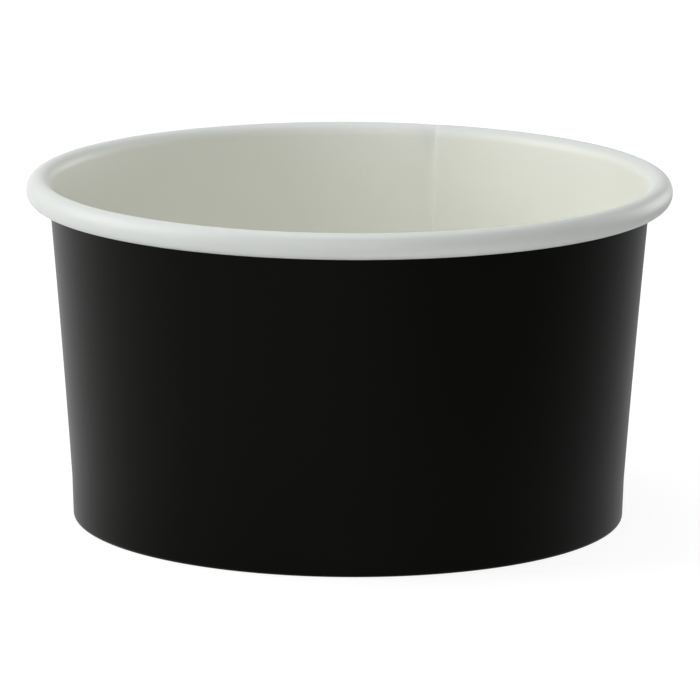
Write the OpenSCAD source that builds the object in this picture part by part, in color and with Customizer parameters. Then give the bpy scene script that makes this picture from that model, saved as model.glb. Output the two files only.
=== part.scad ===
// Paper dessert cup: a printed paperboard side wall with a lapped side seam,
// a rolled rim and a folded hem, and a base disc held in that hem.
// Millimetres, Z up. The origin is on the cup's axis, at the level it stands on.

/* [Cup] */
// Outer diameter over the rolled rim
rim_d = 95; // [80:0.5:110]
// Height from the table to the top of the rolled rim
cup_h = 51; // [35:0.5:90]
// Outer diameter at the foot of the hem
base_d = 81.4; // [70:0.2:84]
// How far the wall bows in at half height
wall_bow = 0.1; // [0:0.05:0.5]

/* [Board] */
// Thickness of the side wall's board
wall_t = 0.35; // [0.25:0.01:0.4]
// Thickness of the base disc's board
base_t = 0.3; // [0.2:0.01:0.4]
// Glue gap on each side of the base disc's skirt
glue_gap = 0.02; // [0.01:0.01:0.05]

/* [Rolled rim] */
// Outside width of the roll
roll_w = 3.6; // [3.5:0.1:5]
// Outside height of the roll
roll_h = 3.95; // [3.6:0.05:5]
// How far round the board is rolled, in degrees
roll_turn = 440; // [300:10:470]
// Clearance between the roll's turns, beside room for the seam's second layer
roll_gap = 0.06; // [0.02:0.02:0.12]

/* [Side seam] */
// Direction of the edge that shows inside, in degrees from +X
seam_at = 72.7; // [0:0.1:359]
// Width of the glued overlap, measured round the rim
lap_w = 7; // [4:0.5:12]
// Width over which the outer layer climbs onto the inner one
climb_w = 4; // [2:0.5:8]

/* [Hem and base] */
// Depth of the recess under the base disc
recess_h = 5.8; // [5:0.1:9]
// How much the hem's radius grows from the foot to its top
hem_flare = 0.2; // [0:0.05:0.4]
// Width across the bottom fold
fold_w = 1.5; // [1.4:0.05:2]
// Outside radius of the fold's two corners
fold_r = 0.6; // [0.45:0.05:0.65]
// Height up to which the folded leaf stands off the skirt
leaf_press = 2.2; // [1.8:0.1:2.8]
// Gap between the leaf's upper edge and the base disc
leaf_gap = 0.7; // [0.3:0.1:1]
// Outside radius of the bend at the base disc's edge
bend_r = 0.8; // [0.5:0.1:1.2]
// Gap between the skirt's lower edge and the fold
skirt_gap = 0.3; // [0.1:0.1:0.8]

/* [Hidden] */

print_black = [0.06, 0.06, 0.055];
board_white = [0.94, 0.95, 0.92];

// Step of a bend in degrees, and steps of the bowed wall and of the climb
arc_step = 20;
bow_steps = 8;
climb_steps = 3;
$fn = 180;

rim_r = rim_d / 2;
hem_h = recess_h + base_t;
hem_lean = atan(hem_flare / hem_h);
lap_a = lap_w / rim_r * 180 / PI;
climb_a = climb_w / rim_r * 180 / PI;

function unit(v) = v / norm(v);
function mix(a, b, u) = a + (b - a) * u;
function ease(u) = u * u * (3 - 2 * u);
function turned(v, a) = [v.x * cos(a) - v.y * sin(a), v.x * sin(a) + v.y * cos(a)];

// A path is a list of [radius, height] points. Its right-hand side, seen along
// the path, is the side that the board is printed on.
function right_of(v) = [v.y, -v.x];

// Arc of radius r that rounds corner b of the path a-b-c
function corner(a, b, c, r) =
    let (
        u = unit(a - b),
        v = unit(c - b),
        half = acos(u * v) / 2,
        centre = b + unit(u + v) * r / sin(half),
        start = b + u * r / tan(half) - centre,
        turn = (180 - 2 * half) * sign(cross(b - a, c - b)),
        steps = max(2, ceil(abs(turn) / arc_step))
    )
    [for (i = [0:steps]) centre + turned(start, turn * i / steps)];

// Sideways direction at point i of a path, lengthened at a kink so that the
// board keeps its thickness round it
function side_at(path, i) =
    let (
        last = len(path) - 1,
        before = right_of(unit(path[max(i, 1)] - path[max(i, 1) - 1])),
        after = right_of(unit(path[min(i, last - 1) + 1] - path[min(i, last - 1)])),
        both = unit(before + after)
    )
    both / (both * after);

// Points of a path moved sideways by off[i], towards the printed side
function moved(path, off) = [for (i = [0:len(path) - 1]) path[i] + side_at(path, i) * off[i]];

function reversed(list) = [for (i = [len(list) - 1:-1:0]) list[i]];

// Closed outline of a board between two offsets from its middle path
function board(path, off_in, off_out) =
    concat(moved(path, off_out), reversed(moved(path, off_in)));

function constant(value, count) = [for (i = [1:count]) value];

// Point at height z, a depth inside the hem's outer face
function hem_at(z, depth) = [base_d / 2 + hem_flare * z / hem_h - depth / cos(hem_lean), z];

// Depths of the skirt's and the leaf's middle below the hem's outer face
skirt_depth = wall_t + glue_gap + base_t / 2;
leaf_depth = wall_t + base_t + 2 * glue_gap + wall_t / 2;

// Folded leaf, bottom fold and hem of the side wall
leaf_top = hem_at(recess_h - leaf_gap, leaf_depth);
leaf_knee = hem_at(leaf_press, leaf_depth);
fold_out = hem_at(wall_t / 2, wall_t / 2);
fold_in = fold_out - [fold_w - wall_t, 0];
hem_top = hem_at(hem_h, wall_t / 2);
fold_mid_r = fold_r - wall_t / 2;
knee_r = 3;

// Height over which the seam's second layer comes out of the pressed fold
press_h = 1.5;
hem_low = hem_at(fold_r + press_h, wall_t / 2);

hem_path = concat(
    [leaf_top],
    corner(leaf_top, leaf_knee, fold_in, knee_r),
    corner(leaf_knee, fold_in, fold_out, fold_mid_r),
    corner(fold_in, fold_out, hem_top, fold_mid_r)
);
leaf_count = 1 + len(corner(leaf_top, leaf_knee, fold_in, knee_r));
foot_at = len(hem_path) - 1;

// Rolled rim: an oval, which the wall runs into along its inner side
roll_centre = [rim_r - roll_w / 2, cup_h - roll_h / 2];
roll_mid = [roll_w - wall_t, roll_h - wall_t] / 2;
wall_rise = roll_centre.y - hem_h;
wall_lean = atan((roll_centre.x - roll_mid.x - hem_top.x) / wall_rise) + atan(4 * wall_bow / wall_rise);
roll_from = 180 - atan(tan(wall_lean) * roll_mid.y / roll_mid.x);
function on_oval(a, tight) =
    roll_centre + [(roll_mid.x - tight) * cos(a), (roll_mid.y - tight) * sin(a)];
roll_start = on_oval(roll_from, 0);

bow_path = [
    for (i = [0:bow_steps - 1])
        let (u = i / bow_steps)
        mix(hem_top, roll_start, u) - [4 * wall_bow * u * (1 - u), 0]
];

// The roll tightens over its second half turn, to pass inside its first turn
roll_pitch = 2 * wall_t + roll_gap;
tighten_from = 200;
tighten_over = 160;
roll_steps = ceil(roll_turn / arc_step);
function tightened(turn) = roll_pitch * ease(min(max((turn - tighten_from) / tighten_over, 0), 1));
roll_path = [
    for (i = [0:roll_steps])
        let (turn = roll_turn * i / roll_steps)
        on_oval(roll_from - turn, tightened(turn))
];

wall_path = concat(hem_path, [hem_low], bow_path, roll_path);
wall_end = len(wall_path) - 1;
bow_at = foot_at + 2;

// The seam's second layer stands one board off the first on leaf, wall and
// roll, and none where the fold is pressed flat
standoffs = [for (i = [0:wall_end]) i < leaf_count || i > foot_at ? 1 : 0];

// Share of a board by which the second layer's solid runs into the first
glue_bite = 0.1;

// The recess beside the inner edge fades on the roll, whose crest is pressed
// almost flush
recess_turn = 100;
crest_share = 0.15;
roll_at = bow_at + bow_steps;
recess_end = roll_at + floor(recess_turn / roll_turn * roll_steps);
function recess_left(i) = mix(1, crest_share, ease(max(i - roll_at, 0) / (recess_end - roll_at)));

function part_of(list, from, to) = [for (i = [from:to]) list[i]];

module turn_about(from, angle) {
    rotate_extrude(angle = angle, start = from) children();
}

// Second layer over points from..to of the wall's path, raised by a share of
// one board. It runs past the inner edge by an angle.
module outer_layer(from, to, share, past) {
    path = part_of(wall_path, from, to);
    off = part_of(standoffs, from, to);
    under = constant((0.5 - glue_bite * share) * wall_t, len(path));
    over = [for (s = off) (0.5 + s * share) * wall_t];
    turn_about(seam_at - lap_a * share, lap_a * share + past) polygon(board(path, under, over));
}

// Recess beside the inner layer's edge, a share of one board deep
module inner_recess(share, past) {
    path = part_of(wall_path, bow_at, recess_end);
    inside = constant(-wall_t, len(path));
    depth = [for (i = [bow_at:recess_end]) (share * recess_left(i) - 0.5) * wall_t];
    turn_about(seam_at, past) polygon(board(path, inside, depth));
}

// One blank, lapped over itself. At the seam the outer layer climbs onto the
// inner one in climb_steps equal shares of the board's thickness.
module side_wall() {
    half = constant(wall_t / 2, len(wall_path));
    color(print_black) difference() {
        union() {
            turn_about(0, 360) polygon(board(wall_path, -half, half));
            outer_layer(0, leaf_count - 1, 1, 0);
            for (k = [1:climb_steps])
                outer_layer(foot_at, wall_end, k / climb_steps, climb_a * (1 + (1 - k) / climb_steps));
        }
        for (k = [1:climb_steps])
            inner_recess(k / climb_steps, climb_a * (1 + (1 - k) / climb_steps));
    }
}

// Flat base with its edge bent down into the hem
module base_disc() {
    floor_mid = recess_h + base_t / 2;
    centre = [0, floor_mid];
    edge = hem_at(floor_mid, skirt_depth);
    skirt_end = hem_at(fold_r + skirt_gap, skirt_depth);
    path = concat([centre], corner(centre, edge, skirt_end, bend_r - base_t / 2), [skirt_end]);
    half = constant(base_t / 2, len(path));
    color(board_white) turn_about(0, 360) polygon(board(path, half, -half));
}

side_wall();
base_disc();
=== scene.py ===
import math

import bpy
from bpy.props import FloatProperty, FloatVectorProperty, IntProperty, PointerProperty
from mathutils import Matrix, Vector
from mathutils.kdtree import KDTree


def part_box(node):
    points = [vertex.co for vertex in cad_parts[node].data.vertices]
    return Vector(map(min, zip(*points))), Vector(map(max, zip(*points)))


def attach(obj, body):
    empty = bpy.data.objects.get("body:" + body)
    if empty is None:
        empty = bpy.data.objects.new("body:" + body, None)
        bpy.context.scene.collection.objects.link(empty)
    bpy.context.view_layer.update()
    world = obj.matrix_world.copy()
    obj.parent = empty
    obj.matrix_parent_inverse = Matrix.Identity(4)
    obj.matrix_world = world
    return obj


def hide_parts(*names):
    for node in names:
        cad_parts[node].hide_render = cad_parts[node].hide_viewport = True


bl_info = {
    "name": "Paper Dessert Cup",
    "version": (1, 0, 0),
    "blender": (4, 5, 0),
    "location": "View3D > Sidebar > Dessert Cup",
    "description": "Models a paper dessert cup with a rolled rim, a lapped seam and a folded hem",
    "category": "Object",
}

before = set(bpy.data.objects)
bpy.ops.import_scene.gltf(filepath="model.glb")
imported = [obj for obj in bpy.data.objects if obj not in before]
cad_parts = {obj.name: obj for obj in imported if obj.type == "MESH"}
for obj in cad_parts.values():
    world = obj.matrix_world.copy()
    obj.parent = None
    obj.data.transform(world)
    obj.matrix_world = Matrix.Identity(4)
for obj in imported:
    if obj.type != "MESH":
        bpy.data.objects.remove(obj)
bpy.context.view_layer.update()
wall_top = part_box("side_wall")[1][2]

MM = 0.001

# Bends and clearances of the boards, as in the part's source
KNEE_R = 3 * MM
SKIRT_GAP = 0.3 * MM
PRESS_H = 1.5 * MM
ROLL_GAP = 0.06 * MM
ROLL_TURN = math.radians(440)
TIGHTEN_FROM = math.radians(200)
TIGHTEN_OVER = math.radians(160)
CREST_TURN = math.radians(90)
CREST_SHARE = 0.15

# How finely the sheets are divided
FOLD_STEP = math.radians(12)
BEND_STEP = math.radians(9)
LEAF_ROWS = 5
HEM_ROWS = 6
BOW_ROWS = 18
ROLL_ROWS = 44
DISC_ROWS = 6
SKIRT_ROWS = 4
DISC_COLUMNS = 180

# The seam's layers and the cut edges
LAYER_GAP = 0.02 * MM
EDGE_LIFT = 0.03 * MM
CUT_BEVEL = 0.09 * MM
CUT_ANGLE = math.radians(60)
SMOOTH_ANGLE = math.radians(50)

# How near a point is to its place, how near joined points are to each other,
# and how near the faces that tell the sheet's outer side are to half height
PLACE_TOLERANCE = 0.01 * MM
JOIN_DISTANCE = 0.001 * MM
MIDDLE_BAND = 2 * MM

# Distances from the axis between which the coated board takes the roll's painted shade, a darker and
# more neutral white
ROLL_SHADE_FROM = 43.8 * MM
ROLL_SHADE_FULL = 44.7 * MM

# Least and most of each finish's tone and roughness, and its sheen
PRINT_TONE = (0.8, 1.2)
PRINT_ROUGH = (0.30, 0.36)
PRINT_SHEEN = 0.06
COAT_TONE = (0.97, 1.02)
COAT_ROUGH = (0.38, 0.5)
COAT_SHEEN = 0.5
EDGE_TONE = (0.86, 1.04)
EDGE_ROUGH = 0.85

# How much the grain of each finish is fibres, how deep it is and how strong
PRINT_GRAIN = (1.0, 0.02 * MM, 0.35)
COAT_GRAIN = (0.4, 0.01 * MM, 0.25)
EDGE_GRAIN = (1.0, 0.03 * MM, 0.5)

# Scale and roughness of the grain's noises, and how far its fibres stretch
TOOTH_NOISE = (2600, 0.6)
FIBRE_NOISE = (900, 0.6)
CLOUD_NOISE = (55, 0.5)
FIBRE_STRETCH = (1.0, 1.0, 0.12)
GRAIN_DETAIL = 3

# Camera's picture and sight, and how far off the middle the cup stands in it
IMAGE_PX = 700
SHIFT_PX = 1.24
SENSOR_MM = 36.0
SIGHT_END = 20.0

# Floor: its size and place, how much it lights the cup and how it is seen
FLOOR_SIZE = 12.0
FLOOR_DROP = 0.02 * MM
FLOOR_LIT = 0.92
FLOOR_SEEN = 0.25
FLOOR_GLOW = 0.87
GLOW_NEAR = 0.2
GLOW_FAR = 0.8

# Where floor and world begin and end to reflect less, from left to right
FLOOR_FADE = (-0.1, 0.2)
WORLD_FADE = (-0.1, 0.8)

# Each lamp's name, azimuth and elevation in degrees, width in metres and power
LAMPS = (
    ("Side", 180, 30, 0.45, "side_power"),
    ("Front", -90, 20, 0.5, "front_power"),
    ("Top", 90, 80, 0.5, "top_power"),
    ("Fill", 20, 30, 0.45, "fill_power"),
    ("Edge", 45, 8, 0.25, "edge_power"),
)


# Sizes, finishes and stage

class CupSizes(bpy.types.PropertyGroup):
    cup_h: FloatProperty(
        name="Height", description="From the table to the top of the rolled rim",
        default=wall_top, unit="LENGTH", subtype="DISTANCE")
    rim_r: FloatProperty(
        name="Rim radius", description="Outer radius over the rolled rim",
        default=47.5 * MM, unit="LENGTH", subtype="DISTANCE")
    base_r: FloatProperty(
        name="Foot radius", description="Outer radius at the foot of the hem",
        default=40.7 * MM, unit="LENGTH", subtype="DISTANCE")
    wall_bow: FloatProperty(
        name="Wall bow", description="How far the wall bows in at half height",
        default=0.1 * MM, unit="LENGTH", subtype="DISTANCE")
    wall_t: FloatProperty(
        name="Wall board", description="Thickness of the side wall's board",
        default=0.35 * MM, unit="LENGTH", subtype="DISTANCE")
    base_t: FloatProperty(
        name="Base board", description="Thickness of the base disc's board",
        default=0.3 * MM, unit="LENGTH", subtype="DISTANCE")
    glue_gap: FloatProperty(
        name="Glue gap", description="Gap on each side of a glued layer",
        default=0.02 * MM, unit="LENGTH", subtype="DISTANCE")
    roll_w: FloatProperty(
        name="Roll width", description="Outside width of the rolled rim's section",
        default=3.6 * MM, unit="LENGTH", subtype="DISTANCE")
    roll_h: FloatProperty(
        name="Roll height", description="Outside height of the rolled rim's section",
        default=3.95 * MM, unit="LENGTH", subtype="DISTANCE")
    seam_at: FloatProperty(
        name="Seam direction", description="Direction of the seam's inside edge from +X",
        default=math.radians(72.7), unit="ROTATION", subtype="ANGLE")
    lap_w: FloatProperty(
        name="Lap", description="Width of the glued overlap, round the rim",
        default=7 * MM, unit="LENGTH", subtype="DISTANCE")
    climb_w: FloatProperty(
        name="Climb", description="Width over which the outer layer climbs onto the inner one",
        default=4 * MM, unit="LENGTH", subtype="DISTANCE")
    recess_h: FloatProperty(
        name="Base recess", description="Depth of the recess under the base disc",
        default=5.8 * MM, unit="LENGTH", subtype="DISTANCE")
    hem_flare: FloatProperty(
        name="Hem flare", description="How much the hem's radius grows from the foot to its top",
        default=0.2 * MM, unit="LENGTH", subtype="DISTANCE")
    fold_w: FloatProperty(
        name="Fold width", description="Width across the bottom fold",
        default=1.5 * MM, unit="LENGTH", subtype="DISTANCE")
    fold_r: FloatProperty(
        name="Fold radius", description="Outside radius of the fold's corners",
        default=0.6 * MM, unit="LENGTH", subtype="DISTANCE")
    leaf_press: FloatProperty(
        name="Leaf press", description="Height up to which the folded leaf stands off the skirt",
        default=2.2 * MM, unit="LENGTH", subtype="DISTANCE")
    leaf_gap: FloatProperty(
        name="Leaf gap", description="Gap between the leaf's upper edge and the base disc",
        default=0.7 * MM, unit="LENGTH", subtype="DISTANCE")
    bend_r: FloatProperty(
        name="Disc bend", description="Outside radius of the bend at the base disc's edge",
        default=0.8 * MM, unit="LENGTH", subtype="DISTANCE")
    knurl: FloatProperty(
        name="Knurl", description="Depth of the crimping wheel's ribs on the folded leaf",
        default=0.07 * MM, unit="LENGTH", subtype="DISTANCE")
    lap_columns: IntProperty(
        name="Lap columns", description="Faces across the overlap, which sets how fine the wall is",
        default=8, min=2, max=12)


class CupFinish(bpy.types.PropertyGroup):
    print_black: FloatVectorProperty(
        name="Print", description="Colour of the black print", subtype="COLOR",
        size=3, min=0, max=1, default=(0.0010, 0.0010, 0.0004))
    coated_white: FloatVectorProperty(
        name="Coated board", description="Colour of the coated white board", subtype="COLOR",
        size=3, min=0, max=1, default=(0.815, 0.825, 0.757))
    # The roll's colour is painted shade: the same coated board as inside, painted darker and more
    # neutral
    roll_shade_white: FloatVectorProperty(
        name="Rim", description="Colour of the board where the roll stretches it", subtype="COLOR",
        size=3, min=0, max=1, default=(0.672, 0.697, 0.672))
    edge_white: FloatVectorProperty(
        name="Cut edge", description="Colour of the board's raw cut edge", subtype="COLOR",
        size=3, min=0, max=1, default=(0.82, 0.81, 0.75))


class CupStage(bpy.types.PropertyGroup):
    distance: FloatProperty(
        name="Camera distance", description="From the camera to the point it looks at",
        default=0.9896, unit="LENGTH", subtype="DISTANCE")
    elevation: FloatProperty(
        name="Camera elevation", description="Camera's angle above the horizontal",
        default=math.radians(11.8), unit="ROTATION", subtype="ANGLE")
    roll: FloatProperty(
        name="Camera roll", description="Camera's turn about its line of sight",
        default=math.radians(0.3), unit="ROTATION", subtype="ANGLE")
    aim_z: FloatProperty(
        name="Aim height", description="Height on the cup's axis that the camera looks at",
        default=24.73 * MM, unit="LENGTH", subtype="DISTANCE")
    lens: FloatProperty(
        name="Lens", description="Focal length in mm on a 36 mm sensor", default=344.3)
    side_power: FloatProperty(
        name="Side light", description="Power of the soft light on the left",
        default=2.35, unit="POWER")
    front_power: FloatProperty(
        name="Front light", description="Power of the low soft light in front",
        default=1.33, unit="POWER")
    top_power: FloatProperty(
        name="Top light", description="Power of the soft light above",
        default=1.76, unit="POWER")
    fill_power: FloatProperty(
        name="Fill light", description="Power of the soft light on the right",
        default=0.3, unit="POWER")
    edge_power: FloatProperty(
        name="Edge light", description="Power of the small light low behind on the right",
        default=0.77, unit="POWER")
    light_distance: FloatProperty(
        name="Light distance", description="From each light to the middle of the cup",
        default=0.6, unit="LENGTH", subtype="DISTANCE")
    ambient: FloatProperty(
        name="Ambient", description="Strength of the even light from all round",
        default=0.03, min=0, max=1, subtype="FACTOR")
    right_share: FloatProperty(
        name="Right side", description="How bright the backdrop's right side is in reflections",
        default=0.3, min=0, max=1, subtype="FACTOR")


# Small helpers

def sizes():
    return bpy.context.scene.cup_sizes


def deselect_all():
    if bpy.context.object and bpy.context.object.mode != "OBJECT":
        bpy.ops.object.mode_set(mode="OBJECT")
    bpy.ops.object.select_all(action="DESELECT")


def start_piece(name, place):
    """Add a small plane at a place, as the start of a piece, and enter edit mode."""
    deselect_all()
    bpy.ops.mesh.primitive_plane_add(size=MM, location=place)
    piece = bpy.context.object
    piece.name = name
    piece.data.name = name
    bpy.ops.object.transform_apply(location=True, rotation=True, scale=True)
    bpy.ops.object.mode_set(mode="EDIT")
    bpy.ops.mesh.select_all(action="SELECT")
    return piece


def apply_modifier(piece, kind, name, **values):
    modifier = piece.modifiers.new(name, kind)
    for key, value in values.items():
        setattr(modifier, key, value)
    bpy.ops.object.modifier_apply(modifier=modifier.name)


def draw_path(points, angle):
    """Shrink the start to the first point and extrude it along the path's points.

    The path's [radius, height] points lie in the upright plane at this angle."""
    flat = Vector((math.cos(angle), math.sin(angle), 0))
    places = [flat * r + Vector((0, 0, z)) for r, z in points]
    bpy.ops.mesh.merge(type="CENTER")
    for before, after in zip(places, places[1:]):
        bpy.ops.mesh.extrude_region_move(
            TRANSFORM_OT_translate={"value": tuple(after - before)})


def spin_path(columns, angle, joined=False):
    """Spin the drawn path round the cup's axis, and join a full turn to its start."""
    bpy.ops.mesh.select_all(action="SELECT")
    bpy.ops.mesh.spin(steps=columns, angle=angle, center=(0, 0, 0), axis=(0, 0, 1))
    bpy.ops.mesh.select_all(action="SELECT")
    if joined:
        bpy.ops.mesh.remove_doubles(threshold=JOIN_DISTANCE)
    bpy.ops.mesh.normals_make_consistent(inside=False)
    bpy.ops.object.mode_set(mode="OBJECT")


def flip_faces():
    bpy.ops.object.mode_set(mode="EDIT")
    bpy.ops.mesh.select_all(action="SELECT")
    bpy.ops.mesh.flip_normals()
    bpy.ops.object.mode_set(mode="OBJECT")


# The board's paths, as in the part's own section

def unit(v):
    return v / v.length


def corner(a, b, c, r, step):
    """Points of the arc of radius r that rounds corner b of the path a-b-c."""
    u, v = unit(a - b), unit(c - b)
    half = math.acos(max(-1.0, min(1.0, u.dot(v)))) / 2
    centre = b + unit(u + v) * (r / math.sin(half))
    start = b + u * (r / math.tan(half)) - centre
    side = (b - a).cross(c - b)
    turn = (math.pi - 2 * half) * (1 if side > 0 else -1)
    steps = max(2, math.ceil(abs(turn) / step))
    return [centre + Matrix.Rotation(turn * i / steps, 2) @ start for i in range(steps + 1)]


def ease(u):
    u = max(0.0, min(1.0, u))
    return u * u * (3 - 2 * u)


def hem_at(z, depth):
    """Point at height z, a depth inside the hem's outer face."""
    s = sizes()
    hem_h = s.recess_h + s.base_t
    lean = math.atan(s.hem_flare / hem_h)
    return Vector((s.base_r + s.hem_flare * z / hem_h - depth / math.cos(lean), z))


def wall_path():
    """Middle of the side wall's board, from the folded leaf's edge to the roll's end.

    Returns the points and two shares for each of them. The first says how far
    the seam's second layer stands off the first: 1 on leaf, wall and roll, 0
    where the fold is pressed. The second is the step beside the inner edge: 1
    up the wall, and little on the roll's crest, which is pressed almost flush."""
    s = sizes()
    t = s.wall_t
    hem_h = s.recess_h + s.base_t
    leaf_depth = t + s.base_t + 2 * s.glue_gap + t / 2
    leaf_top = hem_at(s.recess_h - s.leaf_gap, leaf_depth)
    knee = hem_at(s.leaf_press, leaf_depth)
    fold_out = hem_at(t / 2, t / 2)
    fold_in = fold_out - Vector((s.fold_w - t, 0))
    hem_top = hem_at(hem_h, t / 2)
    knee_arc = corner(leaf_top, knee, fold_in, KNEE_R, FOLD_STEP)
    inner = corner(knee, fold_in, fold_out, s.fold_r - t / 2, FOLD_STEP)
    outer = corner(fold_in, fold_out, hem_top, s.fold_r - t / 2, FOLD_STEP)
    leaf = [leaf_top.lerp(knee_arc[0], i / LEAF_ROWS) for i in range(LEAF_ROWS)] + knee_arc
    leaf += [knee_arc[-1].lerp(inner[0], 0.5)]
    hem = [outer[-1].lerp(hem_top, i / HEM_ROWS) for i in range(1, HEM_ROWS)]

    centre = Vector((s.rim_r - s.roll_w / 2, s.cup_h - s.roll_h / 2))
    oval = Vector((s.roll_w - t, s.roll_h - t)) / 2
    rise = centre.y - hem_h
    lean = math.atan((centre.x - oval.x - hem_top.x) / rise) + math.atan(4 * s.wall_bow / rise)
    roll_from = math.pi - math.atan(math.tan(lean) * oval.y / oval.x)

    def on_roll(turn):
        tight = (2 * t + ROLL_GAP) * ease((turn - TIGHTEN_FROM) / TIGHTEN_OVER)
        a = roll_from - turn
        return centre + Vector(((oval.x - tight) * math.cos(a), (oval.y - tight) * math.sin(a)))

    start = on_roll(0)
    bow = [hem_top.lerp(start, u) - Vector((4 * s.wall_bow * u * (1 - u), 0))
           for u in (i / BOW_ROWS for i in range(BOW_ROWS))]
    roll = [on_roll(ROLL_TURN * i / ROLL_ROWS) for i in range(ROLL_ROWS + 1)]

    points = leaf + inner + outer + hem + bow + roll
    first_free = len(leaf)
    last_free = len(leaf) + len(inner) + len(outer)
    stand = [ease((p.y - s.fold_r) / PRESS_H) if i < first_free or i >= last_free else 0.0
             for i, p in enumerate(points)]
    roll_first = len(points) - len(roll)
    step = [1 - (1 - CREST_SHARE) * ease((i - roll_first) * ROLL_TURN / ROLL_ROWS / CREST_TURN)
            for i in range(len(points))]
    return points, stand, step


def disc_path():
    """Middle of the base disc's board, from the axis to the skirt's lower edge."""
    s = sizes()
    floor_z = s.recess_h + s.base_t / 2
    depth = s.wall_t + s.glue_gap + s.base_t / 2
    edge = hem_at(floor_z, depth)
    end = hem_at(s.fold_r + SKIRT_GAP, depth)
    bend = corner(Vector((0, floor_z)), edge, end, s.bend_r - s.base_t / 2, BEND_STEP)
    flat = [Vector((bend[0].x * i / DISC_ROWS, floor_z)) for i in range(DISC_ROWS)]
    skirt = [bend[-1].lerp(end, i / SKIRT_ROWS) for i in range(1, SKIRT_ROWS + 1)]
    return flat + bend + skirt


# Shared effects, as node groups

def new_group(name, inputs, outputs):
    group = bpy.data.node_groups.new(name, "ShaderNodeTree")
    for label, kind, default in inputs:
        socket = group.interface.new_socket(name=label, in_out="INPUT", socket_type=kind)
        if default is not None:
            socket.default_value = default
    for label, kind in outputs:
        group.interface.new_socket(name=label, in_out="OUTPUT", socket_type=kind)
    source = group.nodes.new("NodeGroupInput")
    sink = group.nodes.new("NodeGroupOutput")
    return group, source, sink


def add_node(tree, kind, **values):
    node = tree.nodes.new(kind)
    for key, value in values.items():
        setattr(node, key, value)
    return node


def math_node(tree, operation, a, b):
    node = add_node(tree, "ShaderNodeMath", operation=operation)
    for socket, value in zip(node.inputs, (a, b)):
        if isinstance(value, bpy.types.NodeSocket):
            tree.links.new(value, socket)
        else:
            socket.default_value = value
    return node.outputs[0]


def map_range(tree, value, near=0.0, far=1.0, low=0.0, high=1.0, kind="LINEAR"):
    """Map a value from the range near to far onto the range low to high."""
    node = add_node(tree, "ShaderNodeMapRange", interpolation_type=kind)
    node.inputs["From Min"].default_value = near
    node.inputs["From Max"].default_value = far
    node.inputs["To Min"].default_value = low
    node.inputs["To Max"].default_value = high
    tree.links.new(value, node.inputs["Value"])
    return node.outputs["Result"]


def noise_node(tree, vector, scale, rough):
    node = add_node(tree, "ShaderNodeTexNoise")
    node.inputs["Scale"].default_value = scale
    node.inputs["Detail"].default_value = GRAIN_DETAIL
    node.inputs["Roughness"].default_value = rough
    tree.links.new(vector, node.inputs["Vector"])
    return node.outputs["Fac"]


def mapped(tree, vector, scale):
    node = add_node(tree, "ShaderNodeMapping")
    node.inputs["Scale"].default_value = scale
    tree.links.new(vector, node.inputs["Vector"])
    return node.outputs["Vector"]


def board_grain_group():
    """Fibres, a fine tooth and slow unevenness of paperboard, in object metres."""
    group, source, sink = new_group(
        "Board grain",
        [("Vector", "NodeSocketVector", None), ("Fibre", "NodeSocketFloat", 0.5)],
        [("Tooth", "NodeSocketFloat"), ("Cloud", "NodeSocketFloat")])
    vector = source.outputs["Vector"]
    tooth = noise_node(group, vector, *TOOTH_NOISE)
    fibre = noise_node(group, mapped(group, vector, FIBRE_STRETCH), *FIBRE_NOISE)
    mixed = math_node(group, "MULTIPLY", fibre, source.outputs["Fibre"])
    group.links.new(math_node(group, "ADD", tooth, mixed), sink.inputs["Tooth"])
    group.links.new(noise_node(group, vector, *CLOUD_NOISE), sink.inputs["Cloud"])
    return group


def new_material(name):
    """Make a material, and return its tree, its shader and the place on the piece."""
    material = bpy.data.materials.new(name)
    material.use_nodes = True
    tree = material.node_tree
    tree.nodes.clear()
    output = tree.nodes.new("ShaderNodeOutputMaterial")
    shader = tree.nodes.new("ShaderNodeBsdfPrincipled")
    tree.links.new(shader.outputs["BSDF"], output.inputs["Surface"])
    place = tree.nodes.new("ShaderNodeTexCoord")
    return tree, shader, place.outputs["Object"]


def add_grain(tree, shader, group, place, fibre, depth, strength):
    """Lay the board's grain on a finish as relief, and return its two masks."""
    node = add_node(tree, "ShaderNodeGroup", node_tree=group)
    node.inputs["Fibre"].default_value = fibre
    tree.links.new(place, node.inputs["Vector"])
    bump = add_node(tree, "ShaderNodeBump")
    bump.inputs["Distance"].default_value = depth
    bump.inputs["Strength"].default_value = strength
    tree.links.new(node.outputs["Tooth"], bump.inputs["Height"])
    tree.links.new(bump.outputs["Normal"], shader.inputs["Normal"])
    return node.outputs["Tooth"], node.outputs["Cloud"]


def radius_mask(tree, place, near, far):
    """0 nearer to the cup's axis than one distance and 1 farther than another."""
    away = add_node(tree, "ShaderNodeVectorMath", operation="LENGTH")
    tree.links.new(mapped(tree, place, (1.0, 1.0, 0.0)), away.inputs[0])
    return map_range(tree, away.outputs["Value"], near, far, kind="SMOOTHSTEP")


def mix_colours(tree, mask, low, high):
    mix = add_node(tree, "ShaderNodeMix", data_type="RGBA")
    tree.links.new(mask, mix.inputs["Factor"])
    mix.inputs["A"].default_value = (*low, 1.0)
    mix.inputs["B"].default_value = (*high, 1.0)
    return mix.outputs["Result"]


def vary_colour(tree, shader, colour, mask, low, high):
    """Base colour, fixed or from a socket, scaled by a mask between two factors."""
    mix = add_node(tree, "ShaderNodeMix", data_type="RGBA", blend_type="MULTIPLY")
    mix.inputs["Factor"].default_value = 1.0
    if isinstance(colour, bpy.types.NodeSocket):
        tree.links.new(colour, mix.inputs["A"])
    else:
        mix.inputs["A"].default_value = (*colour, 1.0)
    tree.links.new(map_range(tree, mask, low=low, high=high), mix.inputs["B"])
    tree.links.new(mix.outputs["Result"], shader.inputs["Base Color"])


def vary_roughness(tree, shader, mask, low, high):
    tree.links.new(map_range(tree, mask, low=low, high=high), shader.inputs["Roughness"])


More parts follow.
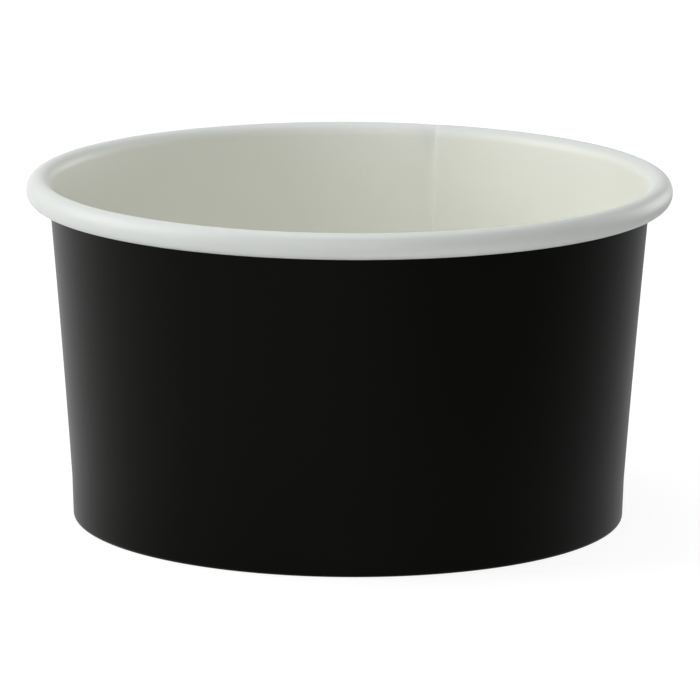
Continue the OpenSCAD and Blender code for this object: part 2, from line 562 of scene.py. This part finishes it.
def print_material(grain):
    """Matte black ink on board, with a faint satin at a low angle."""
    tree, shader, place = new_material("black_print")
    tooth, cloud = add_grain(tree, shader, grain, place, *PRINT_GRAIN)
    colour = bpy.context.scene.cup_finish.print_black
    vary_colour(tree, shader, colour, cloud, *PRINT_TONE)
    vary_roughness(tree, shader, cloud, *PRINT_ROUGH)
    shader.inputs["Specular IOR Level"].default_value = PRINT_SHEEN


def coated_material(grain):
    """Smooth white board under a thin clear coating, with painted shade on the roll."""
    finish = bpy.context.scene.cup_finish
    tree, shader, place = new_material("coated_board")
    tooth, cloud = add_grain(tree, shader, grain, place, *COAT_GRAIN)
    # Painted shade: the roll gets a darker, more neutral white than the inside, on one and the same
    # board
    on_roll = radius_mask(tree, place, ROLL_SHADE_FROM, ROLL_SHADE_FULL)
    colour = mix_colours(tree, on_roll, finish.coated_white, finish.roll_shade_white)
    vary_colour(tree, shader, colour, cloud, *COAT_TONE)
    vary_roughness(tree, shader, cloud, *COAT_ROUGH)
    shader.inputs["Specular IOR Level"].default_value = COAT_SHEEN


def edge_material(grain):
    """Raw cut edge of the board."""
    tree, shader, place = new_material("raw_edge")
    tooth, cloud = add_grain(tree, shader, grain, place, *EDGE_GRAIN)
    colour = bpy.context.scene.cup_finish.edge_white
    vary_colour(tree, shader, colour, tooth, *EDGE_TONE)
    shader.inputs["Roughness"].default_value = EDGE_ROUGH


def finishes():
    """The three finishes, made once and shared."""
    names = ("black_print", "coated_board", "raw_edge")
    if names[0] not in bpy.data.materials:
        grain = board_grain_group()
        print_material(grain)
        coated_material(grain)
        edge_material(grain)
    return [bpy.data.materials[name] for name in names]


# Pieces

class CUP_OT_side_wall(bpy.types.Operator):
    """Model the side wall: one lapped sheet with a rolled rim and a folded hem"""
    bl_idname = "cup.side_wall"
    bl_label = "Side Wall"

    def execute(self, context):
        s = sizes()
        points, stand, step = wall_path()
        climb = s.climb_w / s.rim_r
        # Half a column is left over, so that the layers' points never coincide
        lap_columns = s.lap_columns - 0.5
        per_turn = round(2 * math.pi * s.rim_r / s.lap_w * lap_columns)
        columns = per_turn + s.lap_columns
        lap = 2 * math.pi * lap_columns / (per_turn + 0.5)
        full = 2 * math.pi + lap
        piece = start_piece("printed_side_wall", flat_place(points[0], s.seam_at))
        draw_path(points, s.seam_at)
        spin_path(columns, full)
        outer = piece.vertex_groups.new(name="second layer")
        inner = piece.vertex_groups.new(name="inner fold")
        knurl = piece.vertex_groups.new(name="knurl")
        lifted = piece.vertex_groups.new(name="lifted edge")
        order = column_order(piece.data, points, columns + 1, s.seam_at, full)
        for column, indices in enumerate(order):
            turn = full * column / columns
            raised = ease((turn - (2 * math.pi - climb)) / climb)
            tucked = 1 - ease((turn - lap) / climb)
            for row, index in enumerate(indices):
                beside = 1 if column > per_turn else step[row]
                if raised * stand[row] > 0:
                    outer.add([index], raised * stand[row] * beside, "REPLACE")
                if tucked * (1 - stand[row]) > 0:
                    inner.add([index], tucked * (1 - stand[row]), "REPLACE")
                if column % 2 and 0 < row <= LEAF_ROWS:
                    knurl.add([index], 1.0, "REPLACE")
                if column == 0 and stand[row] == 1:
                    lifted.add([index], step[row], "REPLACE")
        face_printed_side_out(piece)
        layer = s.wall_t + LAYER_GAP
        for group, strength in (("second layer", layer), ("inner fold", -layer),
                                ("knurl", s.knurl), ("lifted edge", -EDGE_LIFT)):
            apply_modifier(piece, "DISPLACE", group, direction="NORMAL", mid_level=0.0,
                           strength=strength, vertex_group=group)
        for material in finishes():
            piece.data.materials.append(material)
        apply_modifier(piece, "SOLIDIFY", "Board", thickness=s.wall_t, offset=0.0,
                       use_even_offset=True, use_quality_normals=True,
                       material_offset=1, material_offset_rim=2)
        piece.vertex_groups.clear()
        round_cut_edges(piece)
        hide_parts("side_wall")
        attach(piece, "root")
        return {"FINISHED"}


def flat_place(point, angle):
    return Vector((point.x * math.cos(angle), point.x * math.sin(angle), point.y))


def column_order(mesh, points, columns, seam_at, full):
    """Vertex indices of each column of the spun sheet, in the path's order."""
    if len(mesh.vertices) != len(points) * columns:
        raise RuntimeError(f"the sheet has {len(mesh.vertices)} points")
    finder = KDTree(len(mesh.vertices))
    for vertex in mesh.vertices:
        finder.insert(vertex.co, vertex.index)
    finder.balance()
    order = []
    for column in range(columns):
        angle = seam_at - full * column / (columns - 1)
        found = [finder.find(flat_place(point, angle)) for point in points]
        if max(distance for place, index, distance in found) > PLACE_TOLERANCE:
            raise RuntimeError(f"column {column} of the sheet is out of place")
        order.append([index for place, index, distance in found])
    return order


def face_printed_side_out(piece):
    """Turn the sheet's normals so that they point away from the axis on the wall."""
    s = sizes()
    middle = [f for f in piece.data.polygons if abs(f.center.z - s.cup_h / 2) < MIDDLE_BAND]
    outward = sum(f.normal.x * f.center.x + f.normal.y * f.center.y for f in middle)
    if outward < 0:
        flip_faces()


def round_cut_edges(piece):
    """Round the board's cut edges a little and smooth the shading elsewhere."""
    apply_modifier(piece, "BEVEL", "Cut edges", width=CUT_BEVEL, segments=2,
                   limit_method="ANGLE", angle_limit=CUT_ANGLE)
    bpy.ops.object.shade_smooth_by_angle(angle=SMOOTH_ANGLE)


class CUP_OT_base_disc(bpy.types.Operator):
    """Model the base disc, with its edge bent down into the hem"""
    bl_idname = "cup.base_disc"
    bl_label = "Base Disc"

    def execute(self, context):
        s = sizes()
        points = disc_path()
        piece = start_piece("base_board", flat_place(points[0], 0))
        draw_path(points, 0)
        spin_path(DISC_COLUMNS, 2 * math.pi, joined=True)
        largest = max(piece.data.polygons, key=lambda f: f.area)
        if largest.normal.z < 0:
            flip_faces()
        for material in finishes()[1:]:
            piece.data.materials.append(material)
        apply_modifier(piece, "SOLIDIFY", "Board", thickness=s.base_t, offset=0.0,
                       use_even_offset=True, use_quality_normals=True, material_offset_rim=1)
        round_cut_edges(piece)
        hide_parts("base_disc")
        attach(piece, "root")
        return {"FINISHED"}


# Stage

def area_light(name, stage, azimuth, elevation, size, power):
    """Soft square light that faces the cup's middle, at angles in degrees."""
    deselect_all()
    around, up = math.radians(azimuth), math.radians(elevation)
    towards = Vector((math.cos(around) * math.cos(up), math.sin(around) * math.cos(up), math.sin(up)))
    place = towards * stage.light_distance + Vector((0, 0, stage.aim_z))
    bpy.ops.object.light_add(type="AREA", location=place)
    light = bpy.context.object
    light.name = name
    light.data.size = size
    light.data.energy = power
    light.rotation_euler = (-towards).to_track_quat("-Z", "Y").to_euler()


def backdrop_rays(tree):
    """1 for the rays that see the backdrop as white, 0 for those that light the cup."""
    ray = add_node(tree, "ShaderNodeLightPath")
    seen = math_node(tree, "MAXIMUM", ray.outputs["Is Camera Ray"], ray.outputs["Is Glossy Ray"])
    return math_node(tree, "MAXIMUM", seen, ray.outputs["Is Transmission Ray"])


def reflected_share(tree, place, fade):
    """1, and less towards the right for the rays that reflect off the cup."""
    split = add_node(tree, "ShaderNodeSeparateXYZ")
    tree.links.new(place, split.inputs["Vector"])
    most = 1 - bpy.context.scene.cup_stage.right_share
    loss = map_range(tree, split.outputs["X"], *fade, high=most, kind="SMOOTHSTEP")
    ray = add_node(tree, "ShaderNodeLightPath")
    return math_node(tree, "SUBTRACT", 1.0,
                     math_node(tree, "MULTIPLY", loss, ray.outputs["Is Glossy Ray"]))


class CUP_OT_stage(bpy.types.Operator):
    """Set the floor, the soft light, the white background and the camera"""
    bl_idname = "cup.stage"
    bl_label = "Stage"

    def execute(self, context):
        stage = context.scene.cup_stage
        self.set_camera(context, stage)
        self.set_floor()
        self.set_world(context, stage)
        for name, azimuth, elevation, size, power in LAMPS:
            area_light(name, stage, azimuth, elevation, size, getattr(stage, power))
        context.scene.view_settings.view_transform = "Standard"
        return {"FINISHED"}

    def set_camera(self, context, stage):
        deselect_all()
        el = stage.elevation
        back = Vector((0, -math.cos(el), math.sin(el)))
        right = Vector((1, 0, 0))
        up = back.cross(right)
        turn = stage.roll
        right, up = (right * math.cos(turn) + up * math.sin(turn),
                     up * math.cos(turn) - right * math.sin(turn))
        bpy.ops.object.camera_add()
        camera = context.object
        camera.name = "Camera"
        place = Matrix((right, up, back)).transposed().to_4x4()
        place.translation = back * stage.distance + Vector((0, 0, stage.aim_z))
        camera.matrix_world = place
        camera.data.lens = stage.lens
        camera.data.sensor_width = SENSOR_MM
        camera.data.shift_x = SHIFT_PX / IMAGE_PX
        camera.data.clip_end = SIGHT_END
        context.scene.camera = camera

    def set_floor(self):
        deselect_all()
        bpy.ops.mesh.primitive_plane_add(size=FLOOR_SIZE, location=(0, 0, -FLOOR_DROP))
        floor = bpy.context.object
        floor.name = "floor"
        bpy.ops.object.transform_apply(location=True, rotation=True, scale=True)
        material = bpy.data.materials.new("pale_floor")
        material.use_nodes = True
        tree = material.node_tree
        tree.nodes.clear()
        output = tree.nodes.new("ShaderNodeOutputMaterial")
        lit = add_node(tree, "ShaderNodeBsdfDiffuse")
        lit.inputs["Color"].default_value = (FLOOR_LIT, FLOOR_LIT, FLOOR_LIT, 1)
        shadowed = add_node(tree, "ShaderNodeBsdfDiffuse")
        shadowed.inputs["Color"].default_value = (FLOOR_SEEN, FLOOR_SEEN, FLOOR_SEEN, 1)
        glow = add_node(tree, "ShaderNodeEmission")
        place = add_node(tree, "ShaderNodeTexCoord").outputs["Object"]
        share = reflected_share(tree, place, FLOOR_FADE)
        level = map_range(tree, radius_mask(tree, place, GLOW_NEAR, GLOW_FAR), low=FLOOR_GLOW)
        tree.links.new(math_node(tree, "MULTIPLY", share, level), glow.inputs["Strength"])
        white = tree.nodes.new("ShaderNodeAddShader")
        tree.links.new(glow.outputs["Emission"], white.inputs[0])
        tree.links.new(shadowed.outputs["BSDF"], white.inputs[1])
        both = tree.nodes.new("ShaderNodeMixShader")
        tree.links.new(backdrop_rays(tree), both.inputs["Fac"])
        tree.links.new(lit.outputs["BSDF"], both.inputs[1])
        tree.links.new(white.outputs["Shader"], both.inputs[2])
        tree.links.new(both.outputs["Shader"], output.inputs["Surface"])
        floor.data.materials.append(material)

    def set_world(self, context, stage):
        world = bpy.data.worlds.new("Studio")
        context.scene.world = world
        world.use_nodes = True
        tree = world.node_tree
        background = tree.nodes["Background"]
        background.inputs["Color"].default_value = (1, 1, 1, 1)
        strength = map_range(tree, backdrop_rays(tree), low=stage.ambient)
        direction = add_node(tree, "ShaderNodeTexCoord").outputs["Generated"]
        share = reflected_share(tree, direction, WORLD_FADE)
        level = math_node(tree, "MULTIPLY", strength, share)
        tree.links.new(level, background.inputs["Strength"])


# Panel and registration

class CUP_PT_panel(bpy.types.Panel):
    """Lists the cup's sizes and operators"""
    bl_idname = "CUP_PT_panel"
    bl_label = "Dessert Cup"
    bl_space_type = "VIEW_3D"
    bl_region_type = "UI"
    bl_category = "Dessert Cup"

    def draw(self, context):
        scene = context.scene
        for group in (scene.cup_sizes, scene.cup_finish, scene.cup_stage):
            box = self.layout.box()
            for name in group.bl_rna.properties.keys():
                if name not in ("rna_type", "name"):
                    box.prop(group, name)
        for operator in (CUP_OT_side_wall, CUP_OT_base_disc, CUP_OT_stage):
            self.layout.operator(operator.bl_idname)


CLASSES = (CupSizes, CupFinish, CupStage, CUP_OT_side_wall, CUP_OT_base_disc,
           CUP_OT_stage, CUP_PT_panel)


def register():
    for cls in CLASSES:
        bpy.utils.register_class(cls)
    bpy.types.Scene.cup_sizes = PointerProperty(type=CupSizes)
    bpy.types.Scene.cup_finish = PointerProperty(type=CupFinish)
    bpy.types.Scene.cup_stage = PointerProperty(type=CupStage)


def unregister():
    del bpy.types.Scene.cup_stage
    del bpy.types.Scene.cup_finish
    del bpy.types.Scene.cup_sizes
    for cls in reversed(CLASSES):
        bpy.utils.unregister_class(cls)


def main():
    register()
    bpy.ops.cup.stage()
    bpy.ops.cup.side_wall()
    bpy.ops.cup.base_disc()


if __name__ == "__main__":
    main()
